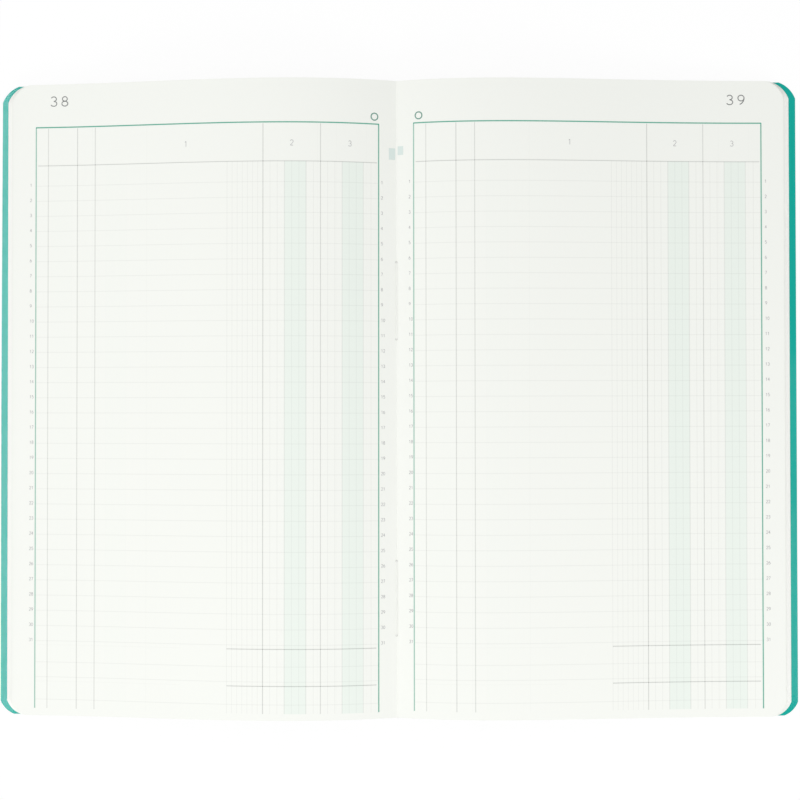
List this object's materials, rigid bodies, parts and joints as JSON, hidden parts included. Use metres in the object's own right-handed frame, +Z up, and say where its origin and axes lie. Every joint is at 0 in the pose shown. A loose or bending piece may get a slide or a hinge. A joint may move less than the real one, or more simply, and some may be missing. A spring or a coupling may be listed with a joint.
{
  "type": "income and expense ledger",
  "caption": "Open sewn ledger: ruled leaves with rounded corners in a soft glossy card cover that folds shut, and the two facing leaves turn.",
  "frame": {"origin": "on the surface that the open ledger lies on, under the middle of the fold", "axes": "+Z up, +Y towards the head of the pages, +X towards the back cover, which is on the reader's right"},
  "size_m": [0.404, 0.32, 0.0209],
  "materials": {
    "cover_card": "coloured card under a clear gloss laminate",
    "page_paper": "smooth uncoated writing paper, ruled in pale green",
    "thread": "bleached sewing thread"
  },
  "bodies": {
    "back_half": {"back_cover": "cover_card", "leaf_22": "page_paper", "leaf_23": "page_paper", "leaf_24": "page_paper", "leaf_25": "page_paper", "leaf_26": "page_paper", "leaf_27": "page_paper", "leaf_28": "page_paper", "leaf_29": "page_paper", "leaf_30": "page_paper", "leaf_31": "page_paper", "leaf_32": "page_paper", "leaf_33": "page_paper", "leaf_34": "page_paper", "leaf_35": "page_paper", "leaf_36": "page_paper", "leaf_37": "page_paper", "leaf_38": "page_paper", "leaf_39": "page_paper", "leaf_40": "page_paper"},
    "front_half": {"front_cover": "cover_card", "leaf_01": "page_paper", "leaf_02": "page_paper", "leaf_03": "page_paper", "leaf_04": "page_paper", "leaf_05": "page_paper", "leaf_06": "page_paper", "leaf_07": "page_paper", "leaf_08": "page_paper", "leaf_09": "page_paper", "leaf_10": "page_paper", "leaf_11": "page_paper", "leaf_12": "page_paper", "leaf_13": "page_paper", "leaf_14": "page_paper", "leaf_15": "page_paper", "leaf_16": "page_paper", "leaf_17": "page_paper", "leaf_18": "page_paper", "leaf_19": "page_paper"},
    "spine": {"cover_spine": "cover_card", "sewing_thread": "thread"},
    "left_page": {"leaf_20": "page_paper"},
    "right_page": {"leaf_21": "page_paper"}
  },
  "joints": [
    {"name": "cover_close", "type": "hinge", "parent": "back_half", "child": "front_half", "pos_m": [0, 0, 0.0042], "axis": [0, -1, 0], "range_deg": [-180, 0], "deforming": ["leaf_01", "leaf_02", "leaf_03", "leaf_04", "leaf_05", "leaf_06", "leaf_07", "leaf_08", "leaf_09", "leaf_10", "leaf_11", "leaf_12", "leaf_13", "leaf_14", "leaf_15", "leaf_16", "leaf_17", "leaf_18", "leaf_19", "leaf_20", "leaf_21", "leaf_22", "leaf_23", "leaf_24", "leaf_25", "leaf_26", "leaf_27", "leaf_28", "leaf_29", "leaf_30", "leaf_31", "leaf_32", "leaf_33", "leaf_34", "leaf_35", "leaf_36", "leaf_37", "leaf_38", "leaf_39", "leaf_40"]},
    {"name": "spine_fold", "type": "hinge", "parent": "back_half", "child": "spine", "pos_m": [0, 0, 0.0042], "axis": [0, -1, 0], "range_deg": [-90, 0]},
    {"name": "left_page_turn", "type": "hinge", "parent": "front_half", "child": "left_page", "pos_m": [0, 0, 0.01025], "axis": [0, 1, 0], "range_deg": [0, 145]},
    {"name": "right_page_turn", "type": "hinge", "parent": "back_half", "child": "right_page", "pos_m": [0, 0, 0.01025], "axis": [0, -1, 0], "range_deg": [0, 145]}
  ],
  "couplings": [
    {"joint": "spine_fold", "follows": "cover_close", "ratio": 0.5}
  ]
}
